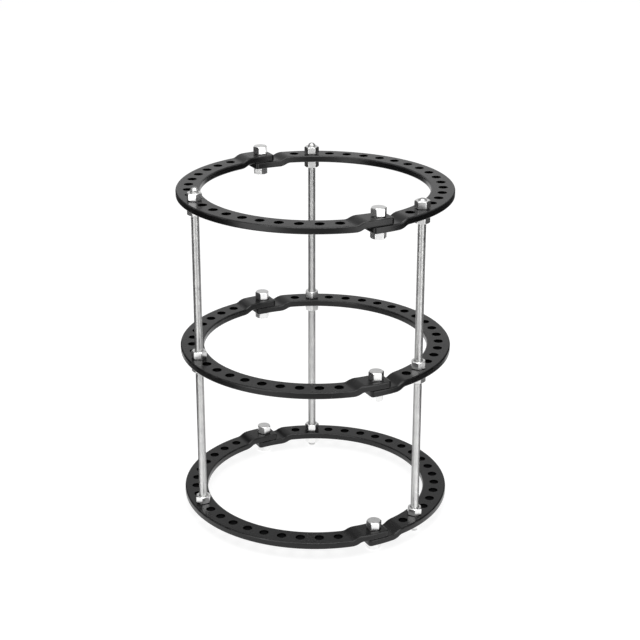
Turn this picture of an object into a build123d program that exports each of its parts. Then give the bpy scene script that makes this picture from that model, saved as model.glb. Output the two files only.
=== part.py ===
from build123d import *

import os
from math import sqrt

# Ring external fixator: three ring levels, each of two half rings bolted together at joggled lugs,
# held on three fully threaded rods by a nut above and a nut below each ring.
# Z runs up along the rods, from the surface that the rod ends stand on.
# X runs along the line of the two joint bolts, towards the front joint.

# Rings, in millimetres
ring_inner_diameter = 167.4
ring_width = 17.6
ring_thickness = 5.0
ring_edge_round = 1.1
# The holes and the joint bolts share one circle, in equal steps from one joint bolt to the other
half_ring_steps = 21
# Steps from a joint bolt to the first hole on either side of it
first_hole_step = 2
# Steps from a joint bolt to each of the two rods in the back half ring
rod_step = 3

# Joggled lugs at the ends of a half ring
lug_reach = 8.1
lug_corner_round = 2.4
lug_end_gap = 3.9
joggle_run = 9.0

# Threaded rods and bolts, at the outside of the thread
thread_diameter = 6.0
thread_clearance = 0.05
hole_clearance = 0.5
thread_end_chamfer = 1.2
bolt_tip_recess = 0.4

# How far each rod, as it was sawn, ends above its top nut
rod_top_stubs = {"right": 1.1, "back": 2.3, "left": 3.5}

# Hexagons of the nuts and bolt heads
across_flats = 10.0
nut_height = 5.7
bolt_head_height = 6.2
corner_chamfer_height = 0.7
corner_chamfer_inset = 0.25
washer_face_height = 0.5
washer_face_inset = 0.45
bore_chamfer = 0.4

# Heights: the lowest joint nuts above the standing surface, and the ring spacing
joint_nut_clearance = 0.8
lower_bay = 118.2
upper_bay = 119.8

# Sizes that follow from those above
ring_inner_radius = ring_inner_diameter / 2
ring_outer_radius = ring_inner_radius + ring_width
hole_circle_radius = ring_inner_radius + ring_width / 2
hole_radius = thread_diameter / 2 + hole_clearance
step_angle = 180 / half_ring_steps
holes_per_half = half_ring_steps - 2 * first_hole_step + 1
lug_lift = ring_thickness / 2
joggle_start = lug_reach + lug_end_gap
joggle_end = joggle_start + joggle_run
bolt_length = 2 * ring_thickness + nut_height - bolt_tip_recess
hex_corner_radius = across_flats / sqrt(3)

bottom_level = joint_nut_clearance + nut_height + ring_thickness
middle_level = bottom_level + lower_bay
top_level = middle_level + upper_bay
top_nut_end = top_level + ring_thickness / 2 + nut_height

levels = {"bottom": bottom_level, "middle": middle_level, "top": top_level}
rods = {
    "right": rod_step * step_angle,
    "back": 180 - rod_step * step_angle,
    "left": 180 + half_ring_steps // 2 * step_angle,
}
joints = {"front": 0.0, "back": 180.0}

# How far each hexagon is turned about its own axis where it was tightened, in degrees
upper_nut_turns = {
    ("top", "left"): -12, ("top", "right"): -4, ("top", "back"): 3,
    ("middle", "left"): -5, ("middle", "right"): -29, ("middle", "back"): -25,
    ("bottom", "left"): -30, ("bottom", "right"): -26, ("bottom", "back"): 2,
}
lower_nut_turns = {
    ("top", "left"): 22, ("top", "right"): -10, ("top", "back"): 4,
    ("middle", "left"): 8, ("middle", "right"): -13, ("middle", "back"): -24,
    ("bottom", "left"): 9, ("bottom", "right"): -8, ("bottom", "back"): 1,
}
bolt_turns = {
    ("top", "front"): 18, ("top", "back"): 24, ("middle", "front"): 14,
    ("middle", "back"): 22, ("bottom", "front"): 13, ("bottom", "back"): -19,
}
joint_nut_turns = {
    ("top", "front"): 10, ("top", "back"): -19, ("middle", "front"): -27,
    ("middle", "back"): 13, ("bottom", "front"): 5, ("bottom", "back"): -27,
}


def save(piece, name):
    piece.label = name
    export_step(piece, f"parts/{name}.step")


def spot_on_circle(angle, height, facing_up=True):
    """A level plane centred on the hole circle at this angle, facing up or down."""
    centre = Vector(hole_circle_radius, 0, height).rotate(Axis.Z, angle)
    return Plane(centre, x_dir=(1, 0, 0), z_dir=(0, 0, 1 if facing_up else -1))


def half_ring(name, level, turned_over):
    """Half a flat ring whose two ends step up by half its thickness, so that the lugs of a pair overlap."""
    top_view = Plane((0, 0, level), x_dir=(1, 0, 0), z_dir=(0, 0, -1 if turned_over else 1))
    side_view = Plane(top_view.origin, x_dir=top_view.y_dir, z_dir=top_view.x_dir)
    with BuildPart() as half:
        # Side view: ring level, the joggle as two equal arcs, then lug level
        with BuildSketch(side_view):
            with BuildLine():
                ring_run = Line((-ring_outer_radius, 0), (-joggle_end, 0))
                joggle_middle = (-(joggle_start + joggle_end) / 2, lug_lift / 2)
                first_arc = TangentArc(ring_run @ 1, joggle_middle, tangent=ring_run % 1)
                second_arc = TangentArc(first_arc @ 1, (-joggle_start, lug_lift), tangent=first_arc % 1)
                Line(second_arc @ 1, (lug_reach, lug_lift))
            trace(line_width=ring_thickness)
        extrude(amount=ring_outer_radius, both=True)
        # Top view: the ring band keeps only what lies between its two circles
        with BuildSketch(top_view):
            Circle(ring_outer_radius)
            Circle(ring_inner_radius, mode=Mode.SUBTRACT)
        extrude(amount=2 * ring_thickness, both=True, mode=Mode.INTERSECT)
        fillet(half.edges().filter_by(Axis.Z), lug_corner_round)
        end_faces = half.faces().filter_by(Axis.Y)
        rims = half.edges().filter_by(GeomType.LINE, reverse=True)
        fillet(rims + end_faces.edges().filter_by(Axis.X), ring_edge_round)
        # Holes on one circle, and a bolt hole through each lug
        with BuildSketch(top_view):
            with PolarLocations(
                hole_circle_radius,
                holes_per_half,
                start_angle=180 + first_hole_step * step_angle,
                angular_range=(holes_per_half - 1) * step_angle,
                endpoint=True,
            ):
                Circle(hole_radius)
            with PolarLocations(hole_circle_radius, 2):
                Circle(hole_radius)
        extrude(amount=2 * ring_thickness, both=True, mode=Mode.SUBTRACT)
    save(half.part, name)


def threaded_rod(name, angle, length):
    """A rod threaded over its whole length, cut square with chamfered ends."""
    with BuildPart() as rod:
        with BuildSketch(spot_on_circle(angle, 0)):
            Circle(thread_diameter / 2)
        extrude(amount=length)
        chamfer(rod.edges().filter_by(GeomType.CIRCLE), thread_end_chamfer)
    save(rod.part, name)


def hexagon_blank_profile(height):
    """Half section of the turned blank of a hexagon: a washer face at its seat, and a cone that cuts its corners."""
    washer_face_radius = across_flats / 2 - washer_face_inset
    face_radius = across_flats / 2 - corner_chamfer_inset
    rim_radius = 2 * hex_corner_radius - face_radius
    rim_drop = 2 * corner_chamfer_height
    Polyline(
        (0, 0),
        (washer_face_radius, 0),
        (washer_face_radius, washer_face_height),
        (rim_radius, washer_face_height),
        (rim_radius, height - rim_drop),
        (face_radius, height),
        (0, height),
        close=True,
    )


def hexagon(seat, height, turn):
    """Adds a hexagon that stands on its seat on a round washer face, with its outer corners chamfered."""
    with BuildPart(mode=Mode.PRIVATE) as blank:
        with BuildSketch(Plane(seat.origin, x_dir=seat.x_dir, z_dir=-seat.y_dir)):
            with BuildLine():
                hexagon_blank_profile(height)
            make_face()
        revolve(axis=Axis(seat.origin, seat.z_dir))
        with BuildSketch(seat):
            RegularPolygon(hex_corner_radius, 6, rotation=turn)
        extrude(amount=height, mode=Mode.INTERSECT)
    add(blank.part)


def nut(name, seat, turn):
    """A hexagon nut with its washer face on the seat and a countersink at both ends of its bore."""
    with BuildPart() as piece:
        hexagon(seat, nut_height, turn)
        with BuildSketch(seat):
            Circle(thread_diameter / 2 + thread_clearance)
        extrude(amount=nut_height, mode=Mode.SUBTRACT)
        chamfer(piece.edges().filter_by(GeomType.CIRCLE).group_by(SortBy.RADIUS)[0], bore_chamfer)
    save(piece.part, name)


def joint_bolt(name, seat, turn):
    """A hexagon bolt with its head on the seat and its shank going down through both lugs."""
    with BuildPart() as piece:
        hexagon(seat, bolt_head_height, turn)
        with BuildSketch(seat):
            Circle(thread_diameter / 2)
        extrude(amount=-bolt_length)
        chamfer(piece.faces().sort_by(Axis.Z)[0].edges(), thread_end_chamfer)
    save(piece.part, name)


os.makedirs("parts", exist_ok=True)

for rod_name, angle in rods.items():
    threaded_rod(f"{rod_name}_threaded_rod", angle, top_nut_end + rod_top_stubs[rod_name])

for level_name, level in levels.items():
    half_ring(f"{level_name}_front_half_ring", level, turned_over=False)
    half_ring(f"{level_name}_back_half_ring", level, turned_over=True)

    for joint_name, angle in joints.items():
        place = (level_name, joint_name)
        head_seat = spot_on_circle(angle, level + ring_thickness)
        nut_seat = spot_on_circle(angle, level - ring_thickness, facing_up=False)
        joint_bolt(f"{level_name}_{joint_name}_joint_bolt", head_seat, bolt_turns[place])
        nut(f"{level_name}_{joint_name}_joint_nut", nut_seat, -joint_nut_turns[place])

    for rod_name, angle in rods.items():
        place = (level_name, rod_name)
        upper_seat = spot_on_circle(angle, level + ring_thickness / 2)
        lower_seat = spot_on_circle(angle, level - ring_thickness / 2, facing_up=False)
        nut(f"{level_name}_{rod_name}_upper_nut", upper_seat, upper_nut_turns[place])
        nut(f"{level_name}_{rod_name}_lower_nut", lower_seat, -lower_nut_turns[place])
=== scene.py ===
from math import atan2, cos, hypot, pi, radians, sin, sqrt

import bpy
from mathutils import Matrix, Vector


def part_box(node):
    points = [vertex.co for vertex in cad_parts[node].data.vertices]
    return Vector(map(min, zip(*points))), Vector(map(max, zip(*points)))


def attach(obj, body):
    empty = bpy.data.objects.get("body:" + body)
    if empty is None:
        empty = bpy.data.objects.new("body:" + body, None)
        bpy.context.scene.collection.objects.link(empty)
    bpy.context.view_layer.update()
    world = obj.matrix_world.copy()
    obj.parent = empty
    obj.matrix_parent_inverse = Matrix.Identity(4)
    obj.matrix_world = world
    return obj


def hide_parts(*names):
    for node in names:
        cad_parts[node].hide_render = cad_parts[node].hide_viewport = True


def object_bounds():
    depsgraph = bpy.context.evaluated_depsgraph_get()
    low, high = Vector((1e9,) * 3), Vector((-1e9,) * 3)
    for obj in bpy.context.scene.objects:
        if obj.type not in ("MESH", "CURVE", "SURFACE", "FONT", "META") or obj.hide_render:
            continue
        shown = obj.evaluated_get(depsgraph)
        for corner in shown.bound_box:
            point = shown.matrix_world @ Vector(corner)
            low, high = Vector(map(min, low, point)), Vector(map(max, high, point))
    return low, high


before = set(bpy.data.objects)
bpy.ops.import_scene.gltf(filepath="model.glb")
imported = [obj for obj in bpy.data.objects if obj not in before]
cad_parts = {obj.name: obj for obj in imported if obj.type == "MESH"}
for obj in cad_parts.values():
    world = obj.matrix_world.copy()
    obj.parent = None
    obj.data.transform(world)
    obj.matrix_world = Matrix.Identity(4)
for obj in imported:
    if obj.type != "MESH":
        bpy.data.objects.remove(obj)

cad_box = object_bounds()

# Threaded rods
# Three stainless steel rods carry the rings. Each is a straight bar with a 6 mm thread of 1 mm pitch
# rolled over its whole length, sawn square and chamfered at both ends. It stands on its lower end.
thread_radius = 0.003
thread_pitch = 0.001
thread_depth = 0.000541
crest_flat = thread_pitch / 8
root_flat = thread_pitch / 4
flank_rise = (thread_pitch - crest_flat - root_flat) / 2
steps_per_turn = 32
spare_turns = 4
sharp_thread_angle = radians(28)
rod_end_radius = 0.0018
saw_threshold = 1e-7
same_place = 0.000001


def axis_of(node):
    """Where the upright axis of a CAD node stands."""
    low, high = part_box(node)
    return (low[0] + high[0]) / 2, (low[1] + high[1]) / 2


def levels_of(node):
    """The lowest and the highest level of a CAD node."""
    low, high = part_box(node)
    return low[2], high[2]


def select_only(piece):
    """Selects one piece and makes it the active one."""
    bpy.ops.object.select_all(action="DESELECT")
    piece.select_set(True)
    bpy.context.view_layer.objects.active = piece


def edit_all(piece):
    """Opens one piece for editing with everything on it selected."""
    select_only(piece)
    bpy.ops.object.mode_set(mode="EDIT")
    bpy.ops.mesh.select_mode(type="VERT")
    bpy.ops.mesh.select_all(action="SELECT")


def saw_level(height, **waste):
    """Saws the piece being edited level at a height, takes the waste away and closes the cut."""
    bpy.ops.mesh.select_all(action="SELECT")
    bpy.ops.mesh.bisect(
        plane_co=(0, 0, height), plane_no=(0, 0, 1), use_fill=True, threshold=saw_threshold, **waste)


def close_editing():
    """Turns all faces of the piece being edited outwards and ends the editing."""
    bpy.ops.mesh.select_all(action="SELECT")
    bpy.ops.mesh.normals_make_consistent(inside=False)
    bpy.ops.object.mode_set(mode="OBJECT")


def own_copy(piece, name):
    """A second piece with its own mesh."""
    select_only(piece)
    bpy.ops.object.duplicate()
    bpy.context.object.name = name
    return bpy.context.object


# One pitch of the thread, drawn as a line of points at the root, up a flank, along the crest and down again
bpy.ops.object.select_all(action="DESELECT")
bpy.ops.mesh.primitive_plane_add(size=thread_pitch)
bar = bpy.context.object
edit_all(bar)
bpy.ops.mesh.merge(type="CENTER")
bpy.ops.transform.translate(value=(thread_radius - thread_depth, 0, -spare_turns / 2 * thread_pitch))
for outwards, upwards in (
    (0, root_flat),
    (thread_depth, flank_rise),
    (0, crest_flat),
    (-thread_depth, flank_rise),
):
    bpy.ops.mesh.extrude_region_move(TRANSFORM_OT_translate={"value": (outwards, 0, upwards)})
bpy.ops.object.mode_set(mode="OBJECT")

# The line wound into a threaded bar, one pitch for each turn, a little longer than the longest rod
winding = bar.modifiers.new("winding", "SCREW")
winding.axis = "Z"
winding.angle = 2 * pi
winding.screw_offset = thread_pitch
winding.iterations = round(cad_box[1][2] / thread_pitch) + spare_turns
winding.steps = steps_per_turn
winding.render_steps = steps_per_turn
bpy.ops.object.modifier_apply(modifier=winding.name)
edit_all(bar)
bpy.ops.mesh.remove_doubles(threshold=same_place)
bpy.ops.object.mode_set(mode="OBJECT")

# Each rod is sawn from the bar to its own length and chamfered, which takes the thread down to the end faces
rods = {}
for side in ("left", "right", "back"):
    x, y = axis_of(f"{side}_threaded_rod")
    foot, top = levels_of(f"{side}_threaded_rod")
    rod = own_copy(bar, f"{side}_rod")
    edit_all(rod)
    saw_level(0, clear_inner=True)
    saw_level(top - foot, clear_outer=True)
    close_editing()
    for point in rod.data.vertices:
        from_end = min(point.co.z, top - foot - point.co.z)
        most = rod_end_radius + max(from_end, 0)
        across = point.co.xy.length
        if across > most:
            point.co.x *= most / across
            point.co.y *= most / across
    bpy.ops.object.shade_smooth_by_angle(angle=sharp_thread_angle)
    edit_all(rod)
    bpy.ops.transform.translate(value=(x, y, foot))
    bpy.ops.object.mode_set(mode="OBJECT")
    rods[side] = rod
bpy.data.objects.remove(bar)

# Faint marks of handling that the finishes here share: soft patches, and fine hairline scratches on the steel
handling = bpy.data.node_groups.new("handling_marks", "ShaderNodeTree")
handling.interface.new_socket("Patch Scale", in_out="INPUT", socket_type="NodeSocketFloat")
handling.interface.new_socket("Hairline Scale", in_out="INPUT", socket_type="NodeSocketFloat")
handling.interface.new_socket("Patches", in_out="OUTPUT", socket_type="NodeSocketFloat")
handling.interface.new_socket("Hairlines", in_out="OUTPUT", socket_type="NodeSocketFloat")
marks_in = handling.nodes.new("NodeGroupInput")
marks_out = handling.nodes.new("NodeGroupOutput")
marks_place = handling.nodes.new("ShaderNodeTexCoord")
patches = handling.nodes.new("ShaderNodeTexNoise")
patches.inputs["Detail"].default_value = 4
patches.inputs["Roughness"].default_value = 0.6
hair_turn = handling.nodes.new("ShaderNodeMapping")
hair_turn.inputs["Rotation"].default_value = (0.5, 0.3, 0.8)
hair_turn.inputs["Scale"].default_value = (1, 0.06, 1)
hairs = handling.nodes.new("ShaderNodeTexNoise")
hairs.inputs["Detail"].default_value = 2
hair_cut = handling.nodes.new("ShaderNodeMapRange")
hair_cut.inputs["From Min"].default_value = 0.62
hair_cut.inputs["From Max"].default_value = 0.72
link = handling.links.new
link(marks_place.outputs["Object"], patches.inputs["Vector"])
link(marks_in.outputs["Patch Scale"], patches.inputs["Scale"])
link(marks_place.outputs["Object"], hair_turn.inputs["Vector"])
link(hair_turn.outputs["Vector"], hairs.inputs["Vector"])
link(marks_in.outputs["Hairline Scale"], hairs.inputs["Scale"])
link(hairs.outputs["Fac"], hair_cut.inputs["Value"])
link(patches.outputs["Fac"], marks_out.inputs["Patches"])
link(hair_cut.outputs["Result"], marks_out.inputs["Hairlines"])


def new_finish(name):
    """A new material, with its nodes, its links and its shader."""
    finish = bpy.data.materials.new(name)
    finish.use_nodes = True
    nodes = finish.node_tree.nodes
    return finish, nodes, finish.node_tree.links, nodes["Principled BSDF"]


def add_handling(nodes, patch_scale, hair_scale=900):
    """The patches and the hairlines of handling, each as a mask."""
    marks = nodes.new("ShaderNodeGroup")
    marks.node_tree = handling
    marks.inputs["Patch Scale"].default_value = patch_scale
    marks.inputs["Hairline Scale"].default_value = hair_scale
    return marks.outputs["Patches"], marks.outputs["Hairlines"]


def blend_by(nodes, links, mask, low, high):
    """A value that runs from low to high as the mask goes from 0 to 1."""
    spread = nodes.new("ShaderNodeMapRange")
    spread.inputs["To Min"].default_value = low
    spread.inputs["To Max"].default_value = high
    links.new(mask, spread.inputs["Value"])
    return spread.outputs["Result"]


def tint_by(nodes, links, mask, dark, light):
    """A colour that runs from dark to light over the middle of the mask's range."""
    ramp = nodes.new("ShaderNodeValToRGB")
    ramp.color_ramp.elements[0].position = 0.3
    ramp.color_ramp.elements[0].color = (*dark, 1)
    ramp.color_ramp.elements[1].position = 0.7
    ramp.color_ramp.elements[1].color = (*light, 1)
    links.new(mask, ramp.inputs["Fac"])
    return ramp.outputs["Color"]


def raise_by(nodes, links, shader, mask, strength, depth):
    """A faint relief where the mask is high."""
    relief = nodes.new("ShaderNodeBump")
    relief.inputs["Strength"].default_value = strength
    relief.inputs["Distance"].default_value = depth
    links.new(mask, relief.inputs["Height"])
    links.new(relief.outputs["Normal"], shader.inputs["Normal"])


def put_on(finish, piece):
    """Gives a piece one finish all over."""
    piece.data.materials.clear()
    piece.data.materials.append(finish)


# Satin stainless steel as it leaves the thread rolls, a little cloudier in patches
rod_finish, nodes, links, shader = new_finish("satin_rolled_stainless")
patch_mask, hair_mask = add_handling(nodes, 140, 1500)
shader.inputs["Metallic"].default_value = 1
# The low specular tint darkens the steel's reflection towards grazing angles, so each rod's sides render darker:
# painted shade
shader.inputs["Specular Tint"].default_value = (0.12, 0.12, 0.12, 1)
rolled_tint = tint_by(nodes, links, patch_mask, (0.72, 0.72, 0.72), (0.84, 0.84, 0.83))
links.new(rolled_tint, shader.inputs["Base Color"])
links.new(blend_by(nodes, links, patch_mask, 0.26, 0.38), shader.inputs["Roughness"])
raise_by(nodes, links, shader, hair_mask, strength=0.15, depth=0.00005)

for side, rod in rods.items():
    put_on(rod_finish, rod)
    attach(rod, "rods")
    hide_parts(f"{side}_threaded_rod")

# Half rings
# Each ring is two half rings cut from aluminium plate, their ends pressed into a joggle so that the lugs
# overlap. The edges are rounded, the holes drilled through, and all of it blasted and anodised black.
levels = ("bottom", "middle", "top")
hole_circle_radius = 0.0925
hole_reach = 0.004
lug_zone = 0.015
upright_lean = 0.5


def reckon(nodes, links, operation, *terms):
    """One step of arithmetic on masks, varying values and limits."""
    step = nodes.new("ShaderNodeMath")
    step.operation = operation
    for socket, term in zip(step.inputs, terms):
        if isinstance(term, (int, float)):
            socket.default_value = term
        else:
            links.new(term, socket)
    return step.outputs[0]


def parts_of(nodes, links, vector):
    """The three parts of a vector that varies over the surface."""
    split = nodes.new("ShaderNodeSeparateXYZ")
    links.new(vector, split.inputs["Vector"])
    return split.outputs


# Edges rubbed by handling: the rounded and chamfered faces between the level ones and the upright ones, unevenly
rubbing = bpy.data.node_groups.new("rubbed_edges", "ShaderNodeTree")
rubbing.interface.new_socket("Spot Scale", in_out="INPUT", socket_type="NodeSocketFloat")
rubbing.interface.new_socket("Rubbed", in_out="OUTPUT", socket_type="NodeSocketFloat")
rub_in = rubbing.nodes.new("NodeGroupInput")
rub_out = rubbing.nodes.new("NodeGroupOutput")
rub_place = rubbing.nodes.new("ShaderNodeTexCoord")
on_edge = rubbing.nodes.new("ShaderNodeValToRGB")
on_edge.color_ramp.elements[0].position = 0.12
on_edge.color_ramp.elements[0].color = (0, 0, 0, 1)
on_edge.color_ramp.elements[1].position = 0.92
on_edge.color_ramp.elements[1].color = (0, 0, 0, 1)
for lean_at in (0.35, 0.75):
    on_edge.color_ramp.elements.new(lean_at).color = (1, 1, 1, 1)
spots = rubbing.nodes.new("ShaderNodeTexNoise")
spots.inputs["Detail"].default_value = 5
spots.inputs["Roughness"].default_value = 0.65
spot_cut = rubbing.nodes.new("ShaderNodeMapRange")
spot_cut.inputs["From Min"].default_value = 0.42
spot_cut.inputs["From Max"].default_value = 0.62
link = rubbing.links.new
facing = parts_of(rubbing.nodes, rubbing.links, rub_place.outputs["Normal"])
link(reckon(rubbing.nodes, rubbing.links, "ABSOLUTE", facing["Z"]), on_edge.inputs["Fac"])
link(rub_place.outputs["Object"], spots.inputs["Vector"])
link(rub_in.outputs["Spot Scale"], spots.inputs["Scale"])
link(spots.outputs["Fac"], spot_cut.inputs["Value"])
rubbed = reckon(rubbing.nodes, rubbing.links, "MULTIPLY", on_edge.outputs["Color"], spot_cut.outputs["Result"])
link(rubbed, rub_out.inputs["Rubbed"])


def add_rubbing(nodes, spot_scale):
    """The rubbed edges as a mask."""
    edges = nodes.new("ShaderNodeGroup")
    edges.node_tree = rubbing
    edges.inputs["Spot Scale"].default_value = spot_scale
    return edges.outputs["Rubbed"]


def rub_tint(nodes, links, edges, tint, bare):
    """The tint, with the bare colour showing where the edges are rubbed."""
    mix = nodes.new("ShaderNodeMix")
    mix.data_type = "RGBA"
    mix.inputs["B"].default_value = (*bare, 1)
    links.new(edges, mix.inputs["Factor"])
    links.new(tint, mix.inputs["A"])
    return mix.outputs["Result"]


# Satin black with the fine grain of blasting, greyer where the edges are rubbed
ring_finish, nodes, links, shader = new_finish("satin_black_anodised_aluminium")
shader.inputs["IOR"].default_value = 1.42
patch_mask, _ = add_handling(nodes, 45)
edge_mask = add_rubbing(nodes, 130)
black = tint_by(nodes, links, patch_mask, (0.004, 0.004, 0.0043), (0.008, 0.008, 0.0083))
links.new(rub_tint(nodes, links, edge_mask, black, (0.035, 0.035, 0.036)), shader.inputs["Base Color"])
links.new(blend_by(nodes, links, patch_mask, 0.22, 0.34), shader.inputs["Roughness"])
place = nodes.new("ShaderNodeTexCoord")
grain = nodes.new("ShaderNodeTexNoise")
grain.inputs["Scale"].default_value = 2600
grain.inputs["Detail"].default_value = 3
links.new(place.outputs["Object"], grain.inputs["Vector"])
raise_by(nodes, links, shader, grain.outputs["Fac"], strength=0.12, depth=0.00008)

# Painted shade in the drilled holes: upright faces about the hole circle, away from the lugs, are made metallic
# over the black colour, so their walls reflect almost nothing and stay a deep black
level_part = nodes.new("ShaderNodeVectorMath")
level_part.operation = "MULTIPLY"
level_part.inputs[1].default_value = (1, 1, 0)
links.new(place.outputs["Object"], level_part.inputs[0])
from_axis = nodes.new("ShaderNodeVectorMath")
from_axis.operation = "LENGTH"
links.new(level_part.outputs["Vector"], from_axis.inputs[0])
by_circle = reckon(nodes, links, "COMPARE", from_axis.outputs["Value"], hole_circle_radius, hole_reach)
facing = parts_of(nodes, links, place.outputs["Normal"])
upright = reckon(nodes, links, "COMPARE", facing["Z"], 0, upright_lean)
spot = parts_of(nodes, links, place.outputs["Object"])
from_joints = reckon(nodes, links, "ABSOLUTE", spot["Y"])
past_lugs = reckon(nodes, links, "GREATER_THAN", from_joints, lug_zone)
painted_shade_bore_wall = reckon(nodes, links, "MULTIPLY", by_circle, upright)
links.new(reckon(nodes, links, "MULTIPLY", painted_shade_bore_wall, past_lugs), shader.inputs["Metallic"])

for level in levels:
    for half in ("front", "back"):
        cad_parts[f"{level}_{half}_half_ring"].material_slots[0].material = ring_finish

# Joint bolts
# A hexagon bolt goes down through each pair of overlapping lugs. It is turned from bright stainless bar and
# polished: a head with a washer face under it and its corners cut by a cone, on a threaded shank.
across_flats = 0.010
corner_radius = across_flats / sqrt(3)
corner_round = 0.00035
washer_face_height = 0.0005
washer_face_radius = across_flats / 2 - 0.00045
washer_disc_height = 0.002
top_face_radius = across_flats / 2 - 0.00025
cone_rim_radius = 2 * corner_radius - top_face_radius
cone_height = 0.0014
head_height = 0.0062
shank_run_in = 0.001
edge_break = 0.00012
break_angle = radians(24)
sharp_facet_angle = radians(30)
overcut = 0.001
round_steps = 72


def solid_bar(radius, low, high):
    """A round bar on the Z axis."""
    bpy.ops.object.select_all(action="DESELECT")
    bpy.ops.mesh.primitive_cylinder_add(
        vertices=round_steps, radius=radius, depth=high - low, location=(0, 0, (low + high) / 2))
    bpy.ops.object.transform_apply()
    return bpy.context.object


def work_with(piece, tool, operation):
    """Cuts a piece with a tool, or joins the two, and takes the tool away."""
    select_only(piece)
    step = piece.modifiers.new("step", "BOOLEAN")
    step.operation = operation
    step.solver = "EXACT"
    step.object = tool
    bpy.ops.object.modifier_apply(modifier=step.name)
    bpy.data.objects.remove(tool)


def pick_edges(piece, wanted):
    """Opens a piece for editing with only those edges selected whose two ends pass the test."""
    edit_all(piece)
    bpy.ops.mesh.select_mode(type="EDGE")
    bpy.ops.mesh.select_all(action="DESELECT")
    bpy.ops.object.mode_set(mode="OBJECT")
    points = piece.data.vertices
    for edge in piece.data.edges:
        first, second = edge.vertices
        edge.select = wanted(points[first].co, points[second].co)
    bpy.ops.object.mode_set(mode="EDIT")


def hexagon(name, height):
    """A hexagon standing at the origin on its washer face, with one corner towards X."""
    bpy.ops.object.select_all(action="DESELECT")
    bpy.ops.mesh.primitive_cylinder_add(
        vertices=6, radius=corner_radius, depth=height, location=(0, 0, washer_face_height + height / 2),
        rotation=(0, 0, radians(30)))
    bpy.ops.object.transform_apply()
    piece = bpy.context.object
    piece.name = name
    pick_edges(piece, lambda a, b: (a.xy - b.xy).length < same_place)
    bpy.ops.mesh.bevel(offset=corner_round, segments=4, affect="EDGES")
    bpy.ops.object.mode_set(mode="OBJECT")
    # The cone that cuts the corners: a bar that narrows to the top face
    bpy.ops.object.select_all(action="DESELECT")
    bpy.ops.mesh.primitive_circle_add(
        vertices=round_steps, radius=cone_rim_radius, fill_type="NGON", location=(0, 0, -overcut))
    bpy.ops.object.transform_apply()
    cone = bpy.context.object
    edit_all(cone)
    for rise in (overcut + height - cone_height, cone_height):
        bpy.ops.mesh.extrude_region_move(TRANSFORM_OT_translate={"value": (0, 0, rise)})
    bpy.ops.transform.resize(value=(top_face_radius / cone_rim_radius, top_face_radius / cone_rim_radius, 1))
    close_editing()
    work_with(piece, cone, "INTERSECT")
    work_with(piece, solid_bar(washer_face_radius, 0, washer_disc_height), "UNION")
    return piece


def corner_towards(node):
    """The angle at which the hexagon of a CAD node points one of its corners."""
    x, y = axis_of(node)
    corner = max(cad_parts[node].data.vertices, key=lambda point: hypot(point.co.x - x, point.co.y - y))
    return atan2(corner.co.y - y, corner.co.x - x)


def set_in_place(piece, node, seat, turned_over=False):
    """Stands a piece on its seat on the axis of a CAD node, turned as that node's hexagon is."""
    select_only(piece)
    piece.location = (*axis_of(node), seat)
    piece.rotation_euler = (pi if turned_over else 0, 0, corner_towards(node))
    bpy.ops.object.transform_apply()


def soften(piece):
    """Breaks the sharp edges of a turned piece a little, as polishing does."""
    select_only(piece)
    broken = piece.modifiers.new("broken_edges", "BEVEL")
    broken.limit_method = "ANGLE"
    broken.angle_limit = break_angle
    broken.width = edge_break
    broken.segments = 2
    broken.use_clamp_overlap = False
    bpy.ops.object.modifier_apply(modifier=broken.name)


def shade_facets(piece):
    """Shades the rounded edges smooth while the wide facets between them stay flat."""
    select_only(piece)
    bpy.ops.object.shade_smooth_by_angle(angle=sharp_facet_angle)
    facets = piece.modifiers.new("flat_facets", "WEIGHTED_NORMAL")
    facets.keep_sharp = True
    bpy.ops.object.modifier_apply(modifier=facets.name)


# Bright polished steel, brightest where the edges are rubbed
polished_steel, nodes, links, shader = new_finish("polished_stainless")
shader.inputs["Metallic"].default_value = 1
patch_mask, hair_mask = add_handling(nodes, 260, 2400)
edge_mask = add_rubbing(nodes, 900)
bright = tint_by(nodes, links, patch_mask, (0.88, 0.88, 0.88), (0.95, 0.95, 0.94))
links.new(rub_tint(nodes, links, edge_mask, bright, (0.98, 0.98, 0.98)), shader.inputs["Base Color"])
links.new(blend_by(nodes, links, patch_mask, 0.24, 0.34), shader.inputs["Roughness"])
raise_by(nodes, links, shader, hair_mask, strength=0.05, depth=0.00002)

bolt = hexagon("first_bolt", head_height)
soften(bolt)
# The shank is the same rolled thread as the rods, cut to length and run a little way into the head
tip, top = levels_of("top_front_joint_bolt")
shank_length = top - tip - head_height
x, y = axis_of("left_threaded_rod")
foot, _ = levels_of("left_threaded_rod")
shank = own_copy(rods["left"], "shank")
edit_all(shank)
bpy.ops.transform.translate(value=(-x, -y, -foot - shank_length))
saw_level(shank_run_in, clear_outer=True)
close_editing()
work_with(bolt, shank, "UNION")
shade_facets(bolt)
put_on(polished_steel, bolt)
for level in levels:
    for joint in ("front", "back"):
        node = f"{level}_{joint}_joint_bolt"
        _, top = levels_of(node)
        piece = own_copy(bolt, f"polished_{node}")
        set_in_place(piece, node, top - head_height)
        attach(piece, f"{level}_ring")
        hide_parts(node)
bpy.data.objects.remove(bolt)

# Nuts
# One kind of hexagon nut, turned from the same bar as the bolts, clamps each pair of lugs on its bolt, and in
# pairs each ring on its rods. Its washer face lies on the ring, and its bore is countersunk at both ends.
nut_height = 0.0057
bore_radius = 0.00305
bore_tolerance = 0.00001
countersink = 0.0004


def on_bore(point):
    """Whether a point lies on the wall of the bore."""
    return abs(point.xy.length - bore_radius) < bore_tolerance


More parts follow.
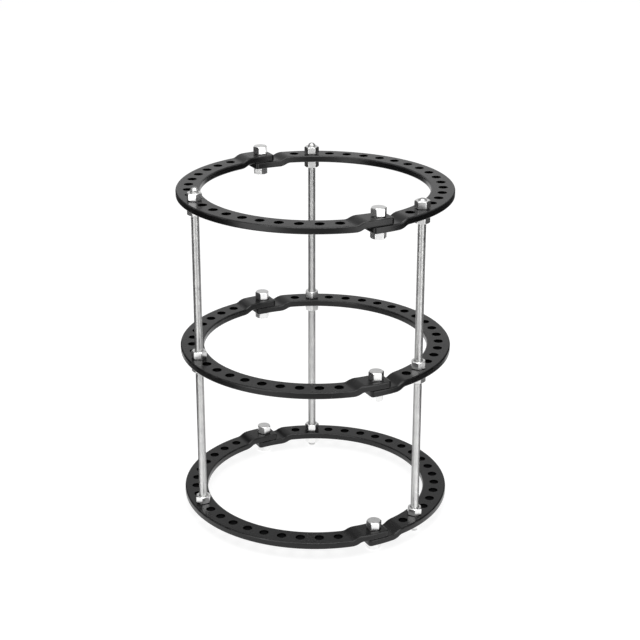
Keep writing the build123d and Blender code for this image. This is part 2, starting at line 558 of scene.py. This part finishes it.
nut = hexagon("first_nut", nut_height)
work_with(nut, solid_bar(bore_radius, -overcut, nut_height + overcut), "DIFFERENCE")
pick_edges(nut, lambda a, b: abs(a.z - b.z) < same_place and on_bore(a) and on_bore(b))
bpy.ops.mesh.bevel(offset=countersink, segments=1, affect="EDGES")
bpy.ops.object.mode_set(mode="OBJECT")
soften(nut)
shade_facets(nut)
put_on(polished_steel, nut)
for level in levels:
    for spot in ("front_joint", "back_joint", "left_upper", "right_upper", "back_upper",
                 "left_lower", "right_lower", "back_lower"):
        node = f"{level}_{spot}_nut"
        under = not spot.endswith("upper")
        low, high = levels_of(node)
        piece = own_copy(nut, f"polished_{node}")
        set_in_place(piece, node, high if under else low, turned_over=under)
        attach(piece, f"{level}_ring" if spot.endswith("joint") else node)
        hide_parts(node)
bpy.data.objects.remove(nut)

# Studio
# A plain white floor runs out of sight under a surround that is white at the horizon and overhead and grey
# between. A broad soft lamp hangs above, and cards stand round the fixator for its faces to mirror.
floor_radius = 9
bpy.ops.object.select_all(action="DESELECT")
bpy.ops.mesh.primitive_circle_add(vertices=96, radius=floor_radius, fill_type="NGON")
floor = bpy.context.object
floor.name = "studio_floor"


def seen_directly(nodes, links):
    """One for what the camera sees, straight, in a reflection or through glass, and nought for plain light."""
    path = nodes.new("ShaderNodeLightPath")
    mirrored = reckon(nodes, links, "MAXIMUM", path.outputs["Is Camera Ray"], path.outputs["Is Glossy Ray"])
    return reckon(nodes, links, "MAXIMUM", mirrored, path.outputs["Is Transmission Ray"])


# What the eye sees of the floor is mostly its own even glow, and the rest is lit, so that it is white and still
# shows a faint shadow. Plain light meets an ordinary white floor
floor_paint = bpy.data.materials.new("white_floor_paint")
floor_paint.use_nodes = True
nodes, links = floor_paint.node_tree.nodes, floor_paint.node_tree.links
nodes.remove(nodes["Principled BSDF"])
lit = nodes.new("ShaderNodeBsdfDiffuse")
lit.inputs["Color"].default_value = (0.3, 0.3, 0.3, 1)
glow = nodes.new("ShaderNodeEmission")
glow.inputs["Color"].default_value = (0.87, 0.87, 0.87, 1)
both = nodes.new("ShaderNodeAddShader")
plain = nodes.new("ShaderNodeBsdfDiffuse")
plain.inputs["Color"].default_value = (0.85, 0.85, 0.85, 1)
by_ray = nodes.new("ShaderNodeMixShader")
links.new(seen_directly(nodes, links), by_ray.inputs["Fac"])
links.new(lit.outputs[0], both.inputs[0])
links.new(glow.outputs[0], both.inputs[1])
links.new(plain.outputs[0], by_ray.inputs[1])
links.new(both.outputs[0], by_ray.inputs[2])
links.new(by_ray.outputs[0], nodes["Material Output"].inputs["Surface"])
floor.data.materials.append(floor_paint)

# The surround gives less plain light than it shows to the eye and in mirrors
world = bpy.data.worlds.new("white_surround")
bpy.context.scene.world = world
world.use_nodes = True
nodes, links = world.node_tree.nodes, world.node_tree.links
outlook = nodes.new("ShaderNodeTexCoord")
walls = nodes.new("ShaderNodeValToRGB")
links.new(parts_of(nodes, links, outlook.outputs["Generated"])["Z"], walls.inputs["Fac"])
stops = walls.color_ramp.elements
for rise, grey in ((0.14, 0.9), (0.29, 0.63), (0.41, 0.51), (0.5, 0.4), (0.77, 0.45), (0.9, 1.0)):
    stops.new(rise).color = (grey, grey, grey, 1)
stops[0].color = (1, 1, 1, 1)
stops[-1].color = (1, 1, 1, 1)
links.new(walls.outputs["Color"], nodes["Background"].inputs["Color"])
strength = blend_by(nodes, links, seen_directly(nodes, links), 0.62, 1)
links.new(strength, nodes["Background"].inputs["Strength"])

# The cards: black ones at either side, bright ones in front to left and right, and a grey one straight in front.
# Each is given by its place across the view and away from the camera, its width, height and turn, and its glow
camera_heading = radians(62.511)
rightwards = (cos(camera_heading), sin(camera_heading))
onwards = (-rightwards[1], rightwards[0])
for name, across, along, width, height, turn, glow in (
    ("left_black_card", -0.28, 0.22, 0.82, 0.37, 90, 0),
    ("right_black_card", 0.28, 0.22, 0.82, 0.37, 90, 0),
    ("left_bright_card", -0.42, -0.42, 0.34, 0.7, -45, 2.4),
    ("right_bright_card", 0.42, -0.42, 0.34, 0.7, 45, 2.4),
    ("front_grey_card", 0, -0.34, 0.24, 0.6, 0, 0.5),
):
    bpy.ops.object.select_all(action="DESELECT")
    bpy.ops.mesh.primitive_plane_add(size=1)
    card = bpy.context.object
    card.name = name
    card.scale = (width, height, 1)
    card.rotation_euler = (radians(90), 0, camera_heading + radians(turn))
    x = across * rightwards[0] + along * onwards[0]
    y = across * rightwards[1] + along * onwards[1]
    card.location = (x, y, height / 2)
    card.visible_camera = False
    card.visible_diffuse = False
    card.visible_shadow = False
    paint, nodes, links, shader = new_finish(f"{name}_paint")
    shader.inputs["Base Color"].default_value = (0.01, 0.01, 0.01, 1)
    shader.inputs["Emission Color"].default_value = (1, 1, 1, 1)
    shader.inputs["Emission Strength"].default_value = glow
    card.data.materials.append(paint)

bpy.ops.object.light_add(type="AREA", location=(0.25, -0.13, 1.6))
lamp = bpy.context.object
lamp.name = "soft_lamp"
lamp.data.shape = "DISK"
lamp.data.size = 1.3
lamp.data.energy = 13
lamp.rotation_euler = (radians(5), radians(9), 0)
lamp.visible_camera = False

# Camera
# It stands a little over a metre from the rings' axis and about twice as high as the fixator, looking down at it
# with the front joints to the right of the middle.
camera_distance = 1.05865
camera_height = 0.55413
camera_pitch = radians(21.009)
bpy.ops.object.camera_add()
camera = bpy.context.object
camera.location = (camera_distance * sin(camera_heading), -camera_distance * cos(camera_heading), camera_height)
camera.rotation_euler = (radians(90) - camera_pitch, 0, camera_heading)
camera.data.sensor_width = 36
camera.data.lens = 84.97
camera.data.shift_x = 0.0073
camera.data.clip_end = 50
bpy.context.scene.camera = camera
bpy.context.scene.view_settings.view_transform = "Standard"
